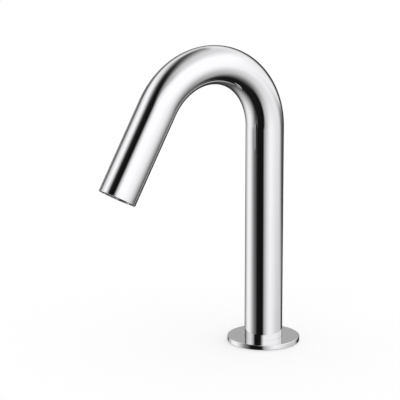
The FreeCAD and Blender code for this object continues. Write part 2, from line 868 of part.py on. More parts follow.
def make_aerator_insert():
    """The grid, screen, plate and flow regulator stacked on the shell's lip."""
    drilled_disc("stream_grid", GRID_HEIGHT, "grid_thickness", "grid_hole", "grid_pitch", GRID_RINGS)
    drilled_disc(
        "aerator_screen", SCREEN_HEIGHT, "screen_thickness", "screen_hole", "screen_pitch", SCREEN_RINGS
    )
    drilled_disc(
        "perforated_plate", PLATE_HEIGHT, "plate_thickness", "plate_hole", "plate_pitch", PLATE_RINGS
    )
    make_flow_regulator()
    ring_body = round_ring("regulator_o_ring", "regulator_ring_diameter / 2", "regulator_ring_section")
    seat_at_tip(ring_body, across="water_offset", up=f"{GASKET_HEIGHT} - regulator_ring_depth")
    gasket = ring("aerator_gasket", "gasket_bore / 2", f"{AERATOR_R} - soft_gap", "gasket_thickness")
    seat_at_tip(gasket, across="water_offset", up=GASKET_HEIGHT)


def make_flow_regulator():
    """The moulded disc whose soft ring narrows its ports as the pressure rises."""
    height = f"({GASKET_HEIGHT} - {REGULATOR_HEIGHT})"
    body = ring("flow_regulator", "0", INSERT_R, height)
    seat_at_tip(body, across="water_offset", up=REGULATOR_HEIGHT)
    floor = f"({height} - regulator_ring_depth)"
    inner = "(regulator_ring_diameter / 2 - regulator_ring_section / 2 - soft_gap)"
    outer = "(regulator_ring_diameter / 2 + regulator_ring_section / 2 + soft_gap)"
    turn(body, [(inner, floor), (outer, floor), (outer, height), (inner, height)], removes=True)
    port = cut_round(body, "regulator_port / 2", "0", floor, side="regulator_ring_diameter / 2")
    repeat_round(body, port, REGULATOR_PORTS)


def obround_block(label, width, height, length, up, side="0"):
    """A solid block of obround section, centred on the sensor's place at the tip."""
    body = new_body(label)
    seat_at_tip(body, across="-sensor_offset", up=up, side=side)
    sketch = new_sketch(body, "XY_Plane")
    add_obround(sketch, width, height)
    pad(body, sketch, length)
    return body


def make_sensor():
    """The sensor cartridge: housing, window, board, two diodes and the cap at its back."""
    housing = obround_block(
        "sensor_housing", HOUSING_WIDTH, HOUSING_HEIGHT, "housing_length - slip_gap", "face_recess"
    )
    hollow = new_sketch(housing, "XY_Plane")
    add_obround(hollow, "window_width", "window_height")
    cut(housing, hollow, "housing_length")
    inside_width = "(window_width - 2 * slip_gap)"
    inside_height = "(window_height - 2 * slip_gap)"
    obround_block("sensor_window", inside_width, inside_height, "window_thickness", "face_recess")
    obround_block(
        "sensor_board", inside_width, inside_height, "board_thickness", "face_recess + board_height"
    )
    cap = obround_block(
        "sensor_back_cap",
        inside_width,
        inside_height,
        "cap_thickness",
        f"{HOUSING_TOP} - slip_gap - cap_thickness",
    )
    cut_round(cap, f"{CABLE_R} + slip_gap", "0", "cap_thickness")
    for label, side in (("emitter_diode", "-diode_spacing / 2"), ("receiver_diode", "diode_spacing / 2")):
        make_diode(label, side)


def make_diode(label, side):
    """A round-nosed diode standing on the board and looking out through the window."""
    body = ring(label, "0", "diode_diameter / 2", "diode_length")
    seat_at_tip(
        body, across="-sensor_offset", up="face_recess + board_height - diode_length", side=side
    )
    ease_edge(body, "Fillet", "diode_diameter / 2", "diode_diameter / 2 - slip_gap", "0")


def check_document():
    """Stops if any object failed or any sub-part has no sound shape."""
    doc.recompute()
    for item in doc.Objects:
        if "Invalid" in item.State or "Error" in item.State:
            raise RuntimeError(f"{item.Name} failed: {item.State}")
    for body in parts:
        if body.Shape.isNull() or not body.Shape.isValid():
            raise RuntimeError(f"{body.Label} has no sound shape")


make_spout_tube()
make_base_flange()
make_flange_seal()
make_threaded_shank()
make_washers()
make_fixing_nut()
make_base_plug()
make_base_plug_ring()
make_inlet_nipple()
make_nipple_clip()
make_cable_grommet()
make_water_hose()
make_ferrules()
make_sensor_cable()
make_hose_spacers()
make_outlet_head()
make_head_ring()
make_head_screw()
make_aerator_shell()
make_aerator_insert()
make_sensor()
check_document()

os.makedirs("parts", exist_ok=True)
for part in parts:
    part.Shape.exportStep(f"parts/{part.Label}.step")
    solids = len(part.Shape.Solids)
    print(f"{part.Label}: {solids} solid, {part.Shape.Volume:.1f} mm3")
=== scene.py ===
import json
import math

import bmesh
import bpy
import numpy as np
from mathutils import Matrix, Vector


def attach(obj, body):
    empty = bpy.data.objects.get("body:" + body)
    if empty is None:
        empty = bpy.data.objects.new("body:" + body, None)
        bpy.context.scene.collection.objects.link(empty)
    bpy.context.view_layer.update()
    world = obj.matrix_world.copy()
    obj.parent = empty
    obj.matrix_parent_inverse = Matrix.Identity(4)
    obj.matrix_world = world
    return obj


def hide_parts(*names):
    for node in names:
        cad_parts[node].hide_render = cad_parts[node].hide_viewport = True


# A bent chromed tap on a round flange, with its fixing under the deck. The frame is the
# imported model's: metres, +Z up, the spout reaching along -Y, the deck's face at z = 0.

MM = 0.001

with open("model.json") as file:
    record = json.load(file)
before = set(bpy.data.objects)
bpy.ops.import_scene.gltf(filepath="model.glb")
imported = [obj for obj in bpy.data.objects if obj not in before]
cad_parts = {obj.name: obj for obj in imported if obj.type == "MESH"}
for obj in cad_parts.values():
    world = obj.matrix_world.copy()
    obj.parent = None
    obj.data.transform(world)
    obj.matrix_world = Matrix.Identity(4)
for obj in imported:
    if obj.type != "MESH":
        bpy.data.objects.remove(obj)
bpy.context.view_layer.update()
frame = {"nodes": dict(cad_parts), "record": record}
nodes = frame["nodes"]
slot_of = {part["node"]: part["material_slot"] for part in frame["record"]["subparts"]}
body_of = {
    name: body for body, names in frame["record"]["behaviour"]["bodies"].items() for name in names
}

# Sizes are in millimetres, as in the model. First the tube, whose foot stands in the flange.
TUBE_R = 14.0
TUBE_BORE_R = 12.8
TUBE_END_EDGE = 0.25
TUBE_FOOT = 2.3
STRAIGHT_TOP = 162.8
BEND_R = 51.0
BEND_ANGLE = 150.0
LEG = 70.3

# The hole for the grub screw, in the back of the leg
SCREW_UP = 16.0
SCREW_HOLE_R = 1.6

# The flange, its recess for the tube and its groove for the seal
FLANGE_R = 26.75
FLANGE_TOP = 3.5
FLANGE_TOP_EDGE = 0.4
FLANGE_LOW_EDGE = 0.18
FLANGE_BORE_R = 12.2
RECESS_R = 14.1
GROOVE_INNER_R = 18.9
GROOVE_OUTER_R = 23.1
GROOVE_TOP = 1.2
SMALL_EDGE = 0.05

# The shank: M24 x 1.5, with a spigot in the tube's foot and a wider bore for the plug
SHANK_R = 12.0
SHANK_ROOT_R = 11.08
SHANK_PITCH = 1.5
SHANK_FOOT = -60.0
SHANK_THREAD_TOP = -3.0
SHANK_FOOT_R = 11.0
SPIGOT_R = 12.75
SPIGOT_TOP = 18.3
SPIGOT_CHAMFER = 1.0
SHANK_BORE_R = 8.7
PLUG_BORE_R = 9.5
PLUG_BORE_TOP = -46.0

# The nut and the two washers, clamping a deck 20 mm thick
NUT_LOW = -33.0
NUT_TOP = -25.0
NUT_FLATS = 32.0
NUT_BORE_R = 12.05
NUT_CHAMFER = 0.6
STEEL_TOP = -23.0
STEEL_R = 21.0
STEEL_BORE_R = 12.1
STEEL_EDGE = 0.2
RUBBER_TOP = -20.0
RUBBER_R = 22.0
RUBBER_BORE_R = 12.2
RUBBER_EDGE = 0.4

# The water inlet: M10 x 1, beside the shank's axis
INLET_Y = -3.4
INLET_FOOT = -75.5
INLET_R = 5.0
INLET_ROOT_R = 4.39
INLET_PITCH = 1.0
INLET_BORE_R = 2.2
INLET_FLATS = 11.0
NECK_R = 3.95
CLIP_GROOVE_R = 3.35
CLIP_GROOVE_HIGH = 0.7
BARB_R = 2.75
BARB_RIDGE_R = 3.0

# How many steps each skin has round its axis
TUBE_AROUND = 192
FLANGE_AROUND = 256
FIXING_AROUND = 144
INLET_AROUND = 96
FLOOR_AROUND = 96

SHARP_ANGLE = math.radians(30)
HEXAGON_CHAMFER_ANGLE = math.radians(30)
HEXAGON_CHAMFER = 0.15


# ---------------------------------------------------------------- mesh helpers

def new_object(name, *patches, closed=True):
    """One smooth-shaded object from patches of (points in millimetres, faces).

    Points that meet are joined, and sharp edges stay crisp.
    """
    points, faces = [], []
    for patch_points, patch_faces in patches:
        start = len(points)
        points += [tuple(point) for point in np.asarray(patch_points) * MM]
        faces += [tuple(start + corner for corner in face) for face in patch_faces]
    mesh = bpy.data.meshes.new(name)
    mesh.from_pydata(points, [], faces)
    work = bmesh.new()
    work.from_mesh(mesh)
    bmesh.ops.remove_doubles(work, verts=work.verts, dist=0.0002 * MM)
    bmesh.ops.dissolve_degenerate(work, edges=work.edges, dist=0.0001 * MM)
    if closed:
        bmesh.ops.recalc_face_normals(work, faces=work.faces)
    work.to_mesh(mesh)
    work.free()
    mesh.polygons.foreach_set("use_smooth", np.ones(len(mesh.polygons), bool))
    mesh.set_sharp_from_angle(angle=SHARP_ANGLE)
    made = bpy.data.objects.new(name, mesh)
    bpy.context.scene.collection.objects.link(made)
    return made


def rounded(corners, steps=6, hold=0.03):
    """A closed outline with each corner (x, y, radius) rounded, and short runs by the arcs.

    The short runs keep the smooth shading of an arc from bleeding into the flat beside it.
    """
    outline = []
    for index, (x, y, radius) in enumerate(corners):
        here = np.array([x, y])
        before = np.array(corners[index - 1][:2]) - here
        after = np.array(corners[(index + 1) % len(corners)][:2]) - here
        toward = before / np.linalg.norm(before)
        away = after / np.linalg.norm(after)
        half = math.acos(max(-1.0, min(1.0, float(toward @ away)))) / 2
        reach = radius / math.tan(half)
        inward = (toward + away) / np.linalg.norm(toward + away)
        middle = here + inward * radius / math.sin(half)
        start = here + toward * reach
        end = here + away * reach
        outline.append(start + toward * hold)
        first = math.atan2(*(start - middle)[::-1])
        turn = math.atan2(*(end - middle)[::-1]) - first
        turn = (turn + math.pi) % (2 * math.pi) - math.pi
        for step in range(steps + 1):
            angle = first + turn * step / steps
            outline.append(middle + radius * np.array([math.cos(angle), math.sin(angle)]))
        outline.append(end + away * hold)
    return np.array(outline)


def grid_faces(rows, columns, close_rows=True):
    """Quads of a grid whose columns go round, and whose rows close when asked."""
    faces = []
    last = rows if close_rows else rows - 1
    for row in range(last):
        below = row * columns
        above = (row + 1) % rows * columns
        for column in range(columns):
            beside = (column + 1) % columns
            faces.append((below + column, below + beside, above + beside, above + column))
    return faces


def even_turns(around):
    """Angles that go once round, in even steps."""
    return np.arange(around) * 2 * math.pi / around


def around_axis(radius, height, turns, across=0.0):
    """Points at each radius and height, and at each angle about an upright axis."""
    return np.stack(
        [radius * np.cos(turns), radius * np.sin(turns) + across, height + 0 * turns], axis=-1
    ).reshape(-1, 3)


def turned(outline, around, across=0.0, close_rows=True):
    """A patch turned about an upright axis from its outline of (radius, height)."""
    outline = np.asarray(outline, float)
    turns = even_turns(around)[None, :]
    points = around_axis(outline[:, :1], outline[:, 1:], turns, across)
    return points, grid_faces(len(outline), around, close_rows)


def thread(crest, root, pitch, low, high, start, run_out, around, across=0.0):
    """A patch of screw thread between two heights.

    It starts on a chamfer at the low end, from radius start, and its groove runs out to the
    crest at the high end. Its rows follow the helix, and reach past both ends, where they
    are held to the end's height.
    """
    shape = ((0.125, root), (0.4375, crest), (0.5625, crest), (0.875, root))
    turns = even_turns(around)
    rows = []
    for number in range(-2, int((high - low) / pitch) + 3):
        for share, radius in shape:
            height = np.clip(low + pitch * (number + share + turns / (2 * math.pi)), low, high)
            lead = start + (height - low)
            tail = crest - (crest - root) * (high - height) / run_out
            reach = np.minimum(np.maximum(radius, tail), lead)
            rows.append(around_axis(reach, height, turns, across))
    faces = []
    for row in range(len(rows) - 1):
        for column in range(around):
            beside, shift = (column + 1, 0) if column + 1 < around else (0, len(shape))
            if row + 1 + shift >= len(rows):
                continue
            here, there = row * around + column, (row + shift) * around + beside
            faces.append((here, there, there + around, here + around))
    return np.concatenate(rows), faces


def hexagon_patch(flats, low, high, low_r, high_r, around, across=0.0):
    """The sides and chamfered corners of a hexagon, closed in to a ring at each end.

    Two of its corners are on the X axis.
    """
    turns = even_turns(around)
    reach = flats / 2 / np.cos(turns % (math.pi / 3) - math.pi / 6)
    face = flats / 2 - HEXAGON_CHAMFER
    drop = (reach - face) * math.tan(HEXAGON_CHAMFER_ANGLE)
    sizes = [
        (low_r, low),
        (face, low),
        (reach, low + drop),
        (reach, high - drop),
        (face, high),
        (high_r, high),
    ]
    rows = [around_axis(radius + 0 * turns, height, turns, across) for radius, height in sizes]
    return np.concatenate(rows), grid_faces(len(rows), around, close_rows=False)


# ---------------------------------------------------------------- the spout

STRAIGHT = STRAIGHT_TOP - TUBE_FOOT
BEND = math.radians(BEND_ANGLE)
BEND_END = STRAIGHT + BEND * BEND_R
TUBE_LENGTH = BEND_END + LEG
HOLE_ALONG = TUBE_LENGTH - SCREW_UP

# The wall's grid is square about the screw's hole, which takes the place of the cells less
# than HOLE_CELLS from its middle. The grid is bent round the hole as far as HOLE_REACH.
CELL = 2 * math.pi * TUBE_R / TUBE_AROUND
HOLE_CELLS = 5
HOLE_REACH = 12


def wall_points(along, radius, around):
    """Points on the tube's wall, given each one's length along the axis, radius and angle."""
    angle = np.clip((along - STRAIGHT) / BEND_R, 0, BEND)
    past = np.maximum(along - BEND_END, 0)
    centre_y = BEND_R * (np.cos(angle) - 1) - past * math.sin(BEND)
    rise = TUBE_FOOT + np.minimum(along, STRAIGHT) + BEND_R * np.sin(angle)
    centre_z = rise + past * math.cos(BEND)
    out = radius * np.cos(around)
    return np.stack(
        [radius * np.sin(around), centre_y + out * np.cos(angle), centre_z + out * np.sin(angle)],
        axis=-1,
    )


def wall_outline():
    """The tube's section as (radius, length along the axis), and the hole's two middle rows."""
    fine = HOLE_ALONG + np.arange(-HOLE_REACH, HOLE_REACH + 1) * CELL
    run = np.linspace(0.5, STRAIGHT, 17)[:-1]
    arc = np.linspace(STRAIGHT, BEND_END, 151)[:-1]
    leg = np.linspace(BEND_END, fine[0] - 1.0, 9)
    end = np.linspace(fine[-1] + 1.0, TUBE_LENGTH - 1.0, 4)
    wall = np.concatenate([run, arc, leg, fine, end])
    corners = rounded(
        [
            (TUBE_BORE_R, 0.0, 0.05),
            (TUBE_R, 0.0, 0.08),
            (TUBE_R, TUBE_LENGTH, TUBE_END_EDGE),
            (TUBE_BORE_R, TUBE_LENGTH, 0.15),
        ],
        steps=5,
    )
    half = len(corners) // 2
    outside = np.stack([np.full(len(wall), TUBE_R), wall], axis=-1)
    inside = np.stack([np.full(len(wall), TUBE_BORE_R), wall[::-1]], axis=-1)
    before = len(run) + len(arc) + len(leg) + HOLE_REACH
    outer_row = half + before
    inner_row = len(corners) + 2 * len(wall) - 1 - before
    return np.concatenate([corners[:half], outside, corners[half:], inside]), outer_row, inner_row


def open_hole(lengths, turns, row, step):
    """Bends the grid about the screw's hole into a disc, and returns the faces to leave out."""
    middle = TUBE_AROUND // 2
    for up in range(-HOLE_REACH, HOLE_REACH + 1):
        for aside in range(-HOLE_REACH, HOLE_REACH + 1):
            ring = max(abs(up), abs(aside))
            if ring < HOLE_CELLS:
                continue
            share = ((HOLE_REACH - ring) / (HOLE_REACH - HOLE_CELLS)) ** 2
            bearing = math.atan2(up, aside)
            disc = ring / HOLE_CELLS * SCREW_HOLE_R / CELL
            across = aside + share * (disc * math.cos(bearing) - aside)
            along = up + share * (disc * math.sin(bearing) - up)
            lengths[row + up * step, middle + aside] = HOLE_ALONG + along * CELL
            turns[row + up * step, middle + aside] = math.pi + across * CELL / TUBE_R
    return {
        (row + up) * TUBE_AROUND + middle + aside
        for up in range(-HOLE_CELLS, HOLE_CELLS)
        for aside in range(-HOLE_CELLS, HOLE_CELLS)
    }


def hole_wall(outer_row, inner_row):
    """The band of quads that joins the screw hole's rim outside to its rim inside."""
    near, far = -HOLE_CELLS, HOLE_CELLS
    rim = [(near, aside) for aside in range(near, far)]
    rim += [(up, far) for up in range(near, far)]
    rim += [(far, aside) for aside in range(far, near, -1)]
    rim += [(up, near) for up in range(far, near, -1)]
    middle = TUBE_AROUND // 2
    outside = [(outer_row + up) * TUBE_AROUND + middle + aside for up, aside in rim]
    inside = [(inner_row - up) * TUBE_AROUND + middle + aside for up, aside in rim]
    count = len(rim)
    return [
        (outside[(at + 1) % count], outside[at], inside[at], inside[(at + 1) % count])
        for at in range(count)
    ]


def make_spout():
    """The bent tube: outer and inner wall, softened end, and the hole for the head's screw."""
    outline, outer_row, inner_row = wall_outline()
    lengths = np.repeat(outline[:, 1:], TUBE_AROUND, axis=1)
    turns = np.tile(even_turns(TUBE_AROUND), (len(outline), 1))
    removed = open_hole(lengths, turns, outer_row, 1) | open_hole(lengths, turns, inner_row, -1)
    points = wall_points(lengths.ravel(), np.repeat(outline[:, 0], TUBE_AROUND), turns.ravel())
    grid = enumerate(grid_faces(len(outline), TUBE_AROUND))
    faces = [face for at, face in grid if at not in removed]
    return new_object("spout_tube_skin", (points, faces + hole_wall(outer_row, inner_row)))


def make_flange():
    """The flange: softened rim, recess round the tube's foot and groove for the seal."""
    outline = rounded(
        [
            (FLANGE_BORE_R, 0.0, SMALL_EDGE),
            (GROOVE_INNER_R, 0.0, SMALL_EDGE),
            (GROOVE_INNER_R, GROOVE_TOP, SMALL_EDGE),
            (GROOVE_OUTER_R, GROOVE_TOP, SMALL_EDGE),
            (GROOVE_OUTER_R, 0.0, SMALL_EDGE),
            (FLANGE_R, 0.0, FLANGE_LOW_EDGE),
            (FLANGE_R, FLANGE_TOP, FLANGE_TOP_EDGE),
            (RECESS_R, FLANGE_TOP, 0.04),
            (RECESS_R, TUBE_FOOT, 0.02),
            (FLANGE_BORE_R, TUBE_FOOT, SMALL_EDGE),
        ]
    )
    return new_object("base_flange_skin", turned(outline, FLANGE_AROUND))


# ---------------------------------------------------------------- fixing under the deck

def make_shank():
    """The shank: thread, plain neck under the flange, spigot and bore."""
    rest = [
        (SHANK_R, SHANK_THREAD_TOP),
        (SHANK_R, TUBE_FOOT),
        (SPIGOT_R, TUBE_FOOT),
        (SPIGOT_R, SPIGOT_TOP - SPIGOT_CHAMFER),
        (SPIGOT_R - SPIGOT_CHAMFER, SPIGOT_TOP),
        (SHANK_BORE_R, SPIGOT_TOP),
        (SHANK_BORE_R, PLUG_BORE_TOP),
        (PLUG_BORE_R, PLUG_BORE_TOP),
        (PLUG_BORE_R, SHANK_FOOT),
        (SHANK_FOOT_R, SHANK_FOOT),
    ]
    screw = thread(
        SHANK_R,
        SHANK_ROOT_R,
        SHANK_PITCH,
        low=SHANK_FOOT,
        high=SHANK_THREAD_TOP,
        start=SHANK_FOOT_R,
        run_out=2.0,
        around=FIXING_AROUND,
    )
    return new_object(
        "threaded_shank_skin", screw, turned(rest, FIXING_AROUND, close_rows=False)
    )


def make_washer(name, bore_r, outer_r, low, high, edge):
    """A flat ring with softened edges."""
    outline = rounded(
        [(bore_r, low, edge), (outer_r, low, edge), (outer_r, high, edge), (bore_r, high, edge)]
    )
    return new_object(name, turned(outline, FIXING_AROUND))


def make_nut():
    """The thin hexagon nut: chamfered corners and bore."""
    ring_r = NUT_BORE_R + NUT_CHAMFER
    body = hexagon_patch(NUT_FLATS, NUT_LOW, NUT_TOP, ring_r, ring_r, FIXING_AROUND)
    bore = [
        (ring_r, NUT_TOP),
        (NUT_BORE_R, NUT_TOP - NUT_CHAMFER),
        (NUT_BORE_R, NUT_LOW + NUT_CHAMFER),
        (ring_r, NUT_LOW),
    ]
    return new_object("fixing_nut_skin", body, turned(bore, FIXING_AROUND, close_rows=False))


def make_nipple():
    """The water inlet: thread, hexagon, neck with its clip groove, and hose barb."""
    thread_top = INLET_FOOT + 10.0
    hexagon_top = INLET_FOOT + 13.0
    groove_low = INLET_FOOT + 27.5
    groove_top = groove_low + CLIP_GROOVE_HIGH
    barb_low = INLET_FOOT + 28.7
    barb_top = barb_low + 12.5
    screw = thread(
        INLET_R,
        INLET_ROOT_R,
        INLET_PITCH,
        low=INLET_FOOT,
        high=thread_top,
        start=INLET_ROOT_R,
        run_out=1.2,
        around=INLET_AROUND,
        across=INLET_Y,
    )
    hexagon = hexagon_patch(
        INLET_FLATS, thread_top, hexagon_top, INLET_R, NECK_R, INLET_AROUND, INLET_Y
    )
    rest = [
        (NECK_R, hexagon_top),
        (NECK_R, groove_low),
        (CLIP_GROOVE_R, groove_low),
        (CLIP_GROOVE_R, groove_top),
        (NECK_R, groove_top),
        (NECK_R, barb_low),
        (BARB_R, barb_low),
    ]
    for ridge in range(3):
        base = barb_low + 2.0 + 2.6 * ridge
        rest += [(BARB_R, base), (BARB_RIDGE_R, base), (BARB_R, base + 2.0)]
    rest += [
        (BARB_R, barb_top),
        (INLET_BORE_R, barb_top),
        (INLET_BORE_R, INLET_FOOT),
        (INLET_ROOT_R, INLET_FOOT),
    ]
    tail = turned(rest, INLET_AROUND, INLET_Y, close_rows=False)
    return new_object("inlet_nipple_skin", screw, hexagon, tail)


# ---------------------------------------------------------------- materials

class Graph:
    """Short names for the nodes of one material or world."""

    def __init__(self, owner):
        owner.use_nodes = True
        self.tree = owner.node_tree
        self.tree.nodes.clear()

    def node(self, kind, inputs=None, **settings):
        """A node with its settings, and inputs that are values or other nodes' outputs."""
        made = self.tree.nodes.new(kind)
        for name, value in settings.items():
            setattr(made, name, value)
        for name, value in (inputs or {}).items():
            socket = made.inputs[name]
            if isinstance(value, bpy.types.NodeSocket):
                self.tree.links.new(value, socket)
            elif socket.type == "RGBA":
                socket.default_value = (*value, 1.0)
            else:
                socket.default_value = value
        return made

    def math(self, operation, *values):
        return self.node(
            "ShaderNodeMath", dict(enumerate(values)), operation=operation
        ).outputs[0]

    def place(self):
        """Where the point is, in metres in the model's frame."""
        return self.node("ShaderNodeTexCoord").outputs["Object"]

    def noise(self, scale, detail, place=None):
        inputs = {"Vector": place or self.place(), "Scale": scale, "Detail": detail}
        return self.node("ShaderNodeTexNoise", inputs).outputs["Fac"]

    def span(self, value, low, high, start=0.0, stop=1.0, smooth=False):
        """The value spread from start..stop to low..high."""
        kind = "SMOOTHSTEP" if smooth else "LINEAR"
        inputs = {
            "Value": value,
            "From Min": start,
            "From Max": stop,
            "To Min": low,
            "To Max": high,
        }
        return self.node("ShaderNodeMapRange", inputs, interpolation_type=kind).outputs["Result"]

    def mix(self, share, first, second):
        """A number between two, by share."""
        inputs = {0: share, 2: first, 3: second}
        return self.node("ShaderNodeMix", inputs, data_type="FLOAT").outputs[0]

    def blend(self, share, first, second):
        """A colour between two, by share."""
        inputs = {0: share, 6: first, 7: second}
        return self.node("ShaderNodeMix", inputs, data_type="RGBA").outputs[2]

    def bump(self, height, distance, strength):
        inputs = {"Height": height, "Distance": distance, "Strength": strength}
        return self.node("ShaderNodeBump", inputs).outputs["Normal"]

    def shader(self, **values):
        """A surface shader; the names of its inputs are given with _ for spaces."""
        inputs = {
            name.replace("_", " ").title().replace("Ior", "IOR"): value
            for name, value in values.items()
        }
        return self.node("ShaderNodeBsdfPrincipled", inputs).outputs[0]

    def principled(self, **values):
        """The surface shader, joined to the output."""
        self.node("ShaderNodeOutputMaterial", {"Surface": self.shader(**values)})


def chromed_brass(graph):
    """Mirror-polished chrome: barely rough, with faint polishing haze and waviness."""
    haze = graph.noise(90.0, 5.0)
    waves = graph.noise(55.0, 2.0)
    graph.principled(
        base_color=graph.blend(haze, (0.80, 0.80, 0.815), (0.83, 0.83, 0.842)),
        metallic=1.0,
        roughness=graph.span(haze, 0.025, 0.055),
        normal=graph.bump(waves, 0.00002, 0.3),
    )


def turned_metal(low, high, rough_low, rough_high):
    """Machined metal with fine turning marks round the upright axis."""

    def build(graph):
        height = graph.node("ShaderNodeSeparateXYZ", {"Vector": graph.place()}).outputs["Z"]
        upright = graph.node("ShaderNodeCombineXYZ", {"Z": height}).outputs[0]
        marks = graph.noise(9000.0, 2.0, upright)
        cloud = graph.noise(220.0, 4.0)
        graph.principled(
            base_color=graph.blend(cloud, low, high),
            metallic=1.0,
            roughness=graph.span(marks, rough_low, rough_high, 0.3, 0.7),
            normal=graph.bump(marks, 0.00003, 0.35),
        )

    return build


def moulded(low, high, rough_low, rough_high, depth=0.00002):
    """Moulded plastic or rubber: fine grain, with slight changes of colour and gloss."""

    def build(graph):
        grain = graph.noise(2600.0, 4.0)
        cloud = graph.noise(160.0, 3.0)
        graph.principled(
            base_color=graph.blend(cloud, low, high),
            roughness=graph.span(cloud, rough_low, rough_high, 0.3, 0.7),
            normal=graph.bump(grain, depth, 0.4),
        )

    return build


def foam(graph):
    """Closed-cell foam: small pits of uneven depth, with painted shade darkening each pit."""
    cells = graph.node(
        "ShaderNodeTexVoronoi", {"Vector": graph.place(), "Scale": 1400.0}
    ).outputs["Distance"]
    # The colour is darker towards each cell's middle, where the bump makes the pit: painted shade
    # in the pits.
    graph.principled(
        base_color=graph.blend(cells, (0.16, 0.16, 0.165), (0.32, 0.32, 0.33)),
        roughness=graph.span(cells, 0.8, 0.97),
        normal=graph.bump(cells, 0.0002, 0.6),
    )


def board(graph):
    """Green lacquered board with the glass cloth showing faintly."""
    weave = graph.node(
        "ShaderNodeTexChecker", {"Vector": graph.place(), "Scale": 3200.0}
    ).outputs["Fac"]
    cloud = graph.noise(500.0, 3.0)
    shade = graph.span(weave, 0.3, 0.7)
    graph.principled(
        base_color=graph.blend(shade, (0.012, 0.12, 0.05), (0.03, 0.2, 0.09)),
        roughness=graph.span(cloud, 0.18, 0.34),
        normal=graph.bump(weave, 0.00001, 0.4),
        coat_weight=0.6,
        coat_roughness=0.1,
    )


def window(graph):
    """Polished filter plastic, nearly black with a red depth."""
    cloud = graph.noise(300.0, 3.0)
    graph.principled(
        base_color=graph.blend(cloud, (0.012, 0.003, 0.005), (0.035, 0.006, 0.01)),
        roughness=graph.span(cloud, 0.05, 0.12),
        normal=graph.bump(cloud, 0.00001, 0.2),
        coat_weight=0.7,
        coat_roughness=0.04,
    )


def lens(low, high):
    """Cast epoxy of a diode, with slight flow marks."""

    def build(graph):
        cloud = graph.noise(700.0, 3.0)
        graph.principled(
            base_color=graph.blend(cloud, low, high),
            roughness=graph.span(cloud, 0.04, 0.12),
            normal=graph.bump(cloud, 0.00001, 0.2),
            transmission_weight=0.85,
            ior=1.53,
        )

    return build


FINISHES = {
    "chromed_brass": chromed_brass,
    "turned_brass": turned_metal((0.70, 0.50, 0.22), (0.84, 0.66, 0.34), 0.22, 0.4),
    "nickel_brass": turned_metal((0.60, 0.58, 0.54), (0.70, 0.69, 0.66), 0.2, 0.36),
    "zinc_steel": turned_metal((0.62, 0.64, 0.67), (0.76, 0.76, 0.75), 0.26, 0.45),
    "stainless_steel": turned_metal((0.56, 0.56, 0.56), (0.66, 0.66, 0.65), 0.22, 0.4),
    "black_rubber": moulded((0.022, 0.022, 0.022), (0.042, 0.041, 0.04), 0.62, 0.8, 0.00004),
    "white_hose": moulded((0.80, 0.80, 0.76), (0.88, 0.88, 0.85), 0.3, 0.45),
    "cable_sheath": moulded((0.05, 0.05, 0.054), (0.075, 0.075, 0.08), 0.5, 0.65),
    "grey_foam": foam,
    "black_acetal": moulded((0.018, 0.018, 0.02), (0.032, 0.032, 0.034), 0.34, 0.5),
    "white_acetal": moulded((0.78, 0.78, 0.75), (0.86, 0.86, 0.84), 0.3, 0.45),
    "grey_acetal": moulded((0.40, 0.42, 0.45), (0.50, 0.52, 0.55), 0.3, 0.46),
    "infrared_window": window,
    "circuit_board": board,
    "clear_diode": lens((0.86, 0.88, 0.92), (0.95, 0.96, 0.98)),
    "dark_diode": lens((0.03, 0.02, 0.04), (0.08, 0.05, 0.09)),
}


def make_finishes():
    """One material for each of the record's slots."""
    made = {}
    for slot, build in FINISHES.items():
        material = bpy.data.materials.new(slot + "_look")
        build(Graph(material))
        made[slot] = material
    return made


# ---------------------------------------------------------------- studio

# The room that the metal mirrors is a dome, with large cards hung in it. The dome has a level
# for its middle; its floor and top each have the two elevations between which their own
# level takes over, and that level.
DOME_LEVEL = 1.14
DOME_FLOOR = (-56.7, -9.4, 0.100)
DOME_TOP = (68.9, 71.2, 0.050)

# Each card has its middle's azimuth and elevation, its roll, half its width and height as
# angles, how square it is, how soft its edge is, how much softer on one side, and its level.
# A later card hides the ones before it.
CARDS = {
    "left_wall": (-137.3, -12.9, 0.3, 43.0, 68.1, 3.0, 0.180, -0.321, 0.444),
    "flag": (-119.8, 44.9, -13.2, 72.5, 57.0, 2.5, 0.091, -0.501, 0.006),
    "window": (-139.3, 33.8, -25.9, 58.8, 18.6, 2.5, 0.859, 0.765, 1.293),
    "shelf": (19.8, 27.6, -10.5, 58.6, 25.9, 3.0, 0.216, 0.012, 1.212),
    "post_haze": (-84.6, -20.8, 5.5, 16.4, 61.1, 3.0, 1.421, -0.162, 0.002),
    "rise": (-38.6, -18.0, 8.0, 15.4, 14.4, 3.0, 1.000, 0.256, 0.427),
    "post": (-60.3, -18.2, 25.7, 18.6, 66.1, 4.0, 0.206, 0.237, 0.008),
    "strip": (-142.5, -18.3, 2.8, 22.6, 36.2, 3.0, 0.766, 0.114, 1.072),
    "patch": (94.7, -27.5, 5.0, 35.8, 8.5, 3.0, 0.634, -0.950, 0.139),
    "right_grey": (83.1, -9.0, -8.3, 16.6, 6.3, 3.0, 0.691, -0.950, 0.068),
    "top_grey": (150.8, 65.0, 24.8, 21.3, 22.2, 2.5, 0.735, 0.929, 0.075),
    "low_floor": (0.9, -73.9, -9.8, 61.8, 15.5, 3.0, 0.458, 0.309, 0.010),
    "crown": (77.4, 70.1, -38.4, 64.2, 16.0, 2.5, 0.992, 0.146, 0.794),
    "right_shelf": (107.9, 14.6, 4.0, 46.3, 15.8, 3.0, 0.887, 0.101, 0.989),
    "rim": (135.0, -15.0, 1.0, 38.0, 36.5, 2.5, 0.260, -0.050, 0.040),
    "rear_wall": (144.0, 17.6, 0.0, 9.0, 6.0, 3.0, 0.300, 0.000, 0.460),
}

# The level of the room in the light that falls on dull surfaces
SOFT_LIGHT = (0.9, 0.9, 0.9)
WHITE = (1.0, 1.0, 1.0)

